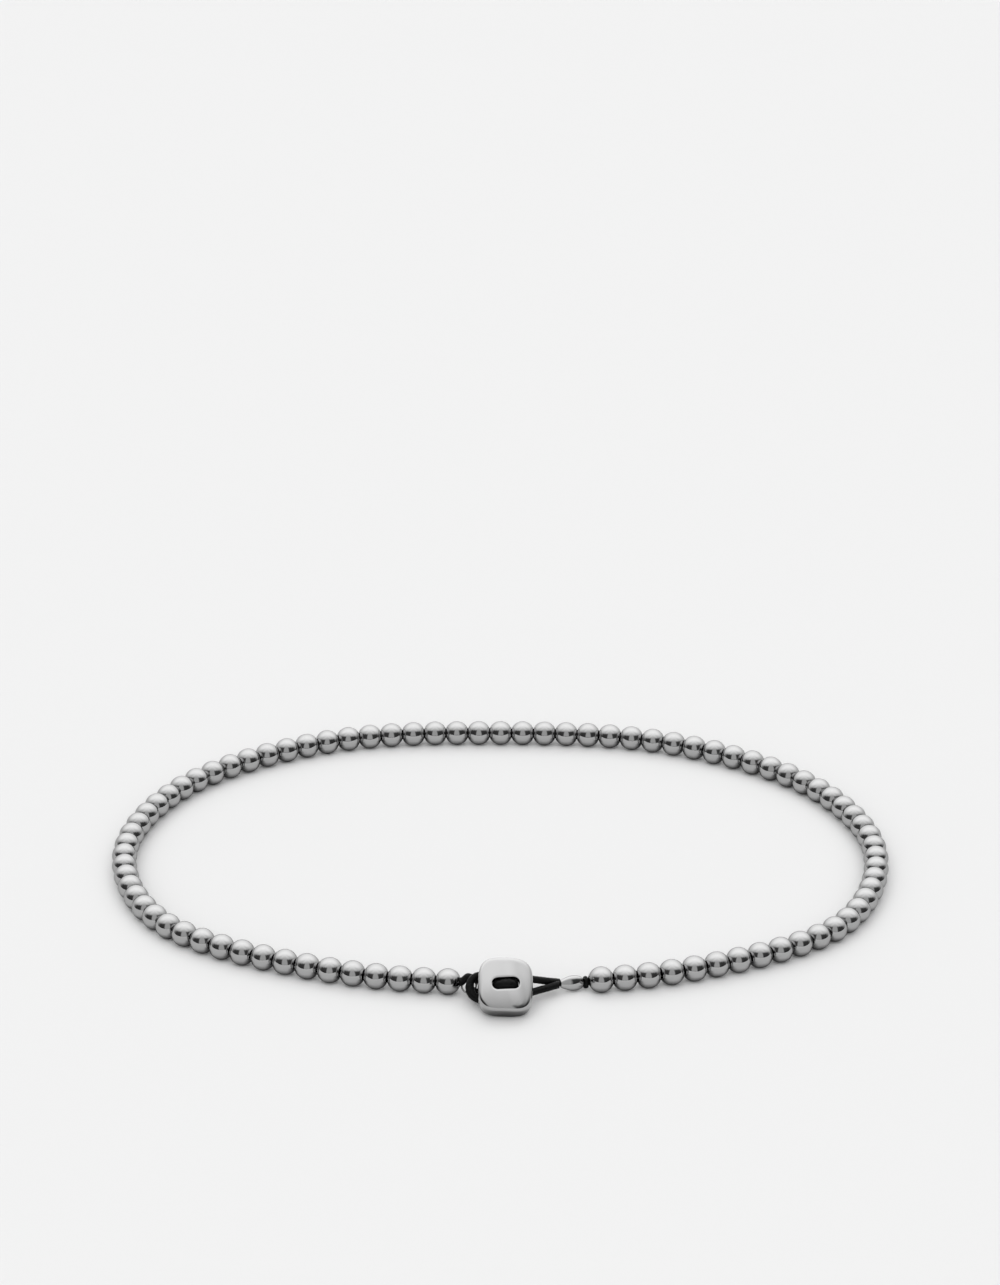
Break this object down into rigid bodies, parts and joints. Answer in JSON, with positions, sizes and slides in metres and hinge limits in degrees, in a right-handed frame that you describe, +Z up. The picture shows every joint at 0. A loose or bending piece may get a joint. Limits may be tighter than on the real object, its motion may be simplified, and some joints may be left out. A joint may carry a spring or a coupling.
{
  "type": "beaded bracelet",
  "caption": "Single string of polished silver metal beads, closed at the front by a cushion-shaped metal button and a black waxed cord loop.",
  "frame": {"origin": "middle of the wrist opening, on the surface that the bracelet lies on", "axes": "+Z up out of the surface; +X along the oval's long way; -Y towards the button at the front"},
  "size_m": [0.0713, 0.0564, 0.0044],
  "materials": {
    "polished_silver": "polished silver, neutral grey, mirror-like with a very fine polish grain",
    "button_silver": "polished silver button with softened edges",
    "black_waxed_cord": "black braided cord, waxed, with a low sheen",
    "black_thread": "black stringing thread, matt"
  },
  "bodies": {
    "root": {"bead_string": "polished_silver", "stringing_thread": "black_thread", "button": "button_silver", "button_cord": "black_waxed_cord", "closure_loop": "black_waxed_cord", "slide_bead": "polished_silver", "end_knot": "black_waxed_cord", "wire_eye": "polished_silver"}
  },
  "joints": []
}
